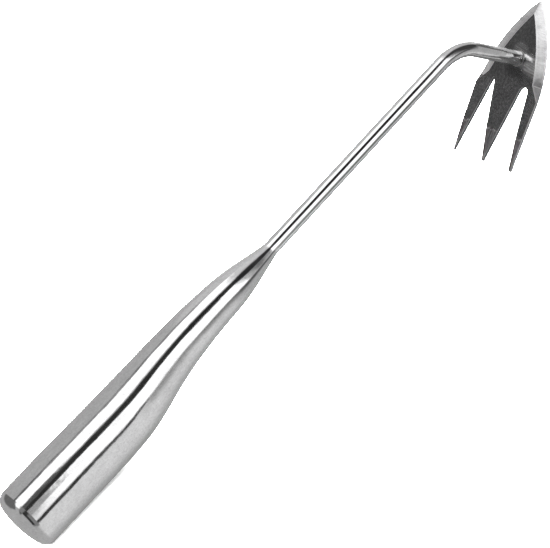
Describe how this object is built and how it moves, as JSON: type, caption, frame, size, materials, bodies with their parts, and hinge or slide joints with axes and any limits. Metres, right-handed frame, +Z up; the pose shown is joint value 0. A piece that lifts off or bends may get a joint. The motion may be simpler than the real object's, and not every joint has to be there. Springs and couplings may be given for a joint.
{
  "type": "hand weeder",
  "caption": "Short-handled garden hand weeder: polished hollow steel handle, bent round neck bar and a flat forked plate with a ground arrow-shaped blade and pointed tines.",
  "frame": {"origin": "centre of the bounding box's footprint, on the ground plane the tool lies on", "axes": "+X from the butt towards the head, +Y to the tool's left, +Z up with the butt and the tine tips on the ground"},
  "size_m": [0.3829, 0.0444, 0.0738],
  "materials": {
    "polished_steel": "mirror polished stainless steel",
    "blade_steel": "dark rolled and tempered surface with bright ground bevels and points",
    "weld_metal": "ground and polished weld"
  },
  "bodies": {
    "root": {"head_plate": "blade_steel", "neck_rod": "polished_steel", "head_weld": "weld_metal", "mouth_weld": "polished_steel", "handle_shell_left": "polished_steel", "handle_shell_right": "polished_steel", "seam_weld": "polished_steel", "butt_weld": "polished_steel", "butt_cap": "polished_steel"}
  },
  "joints": []
}
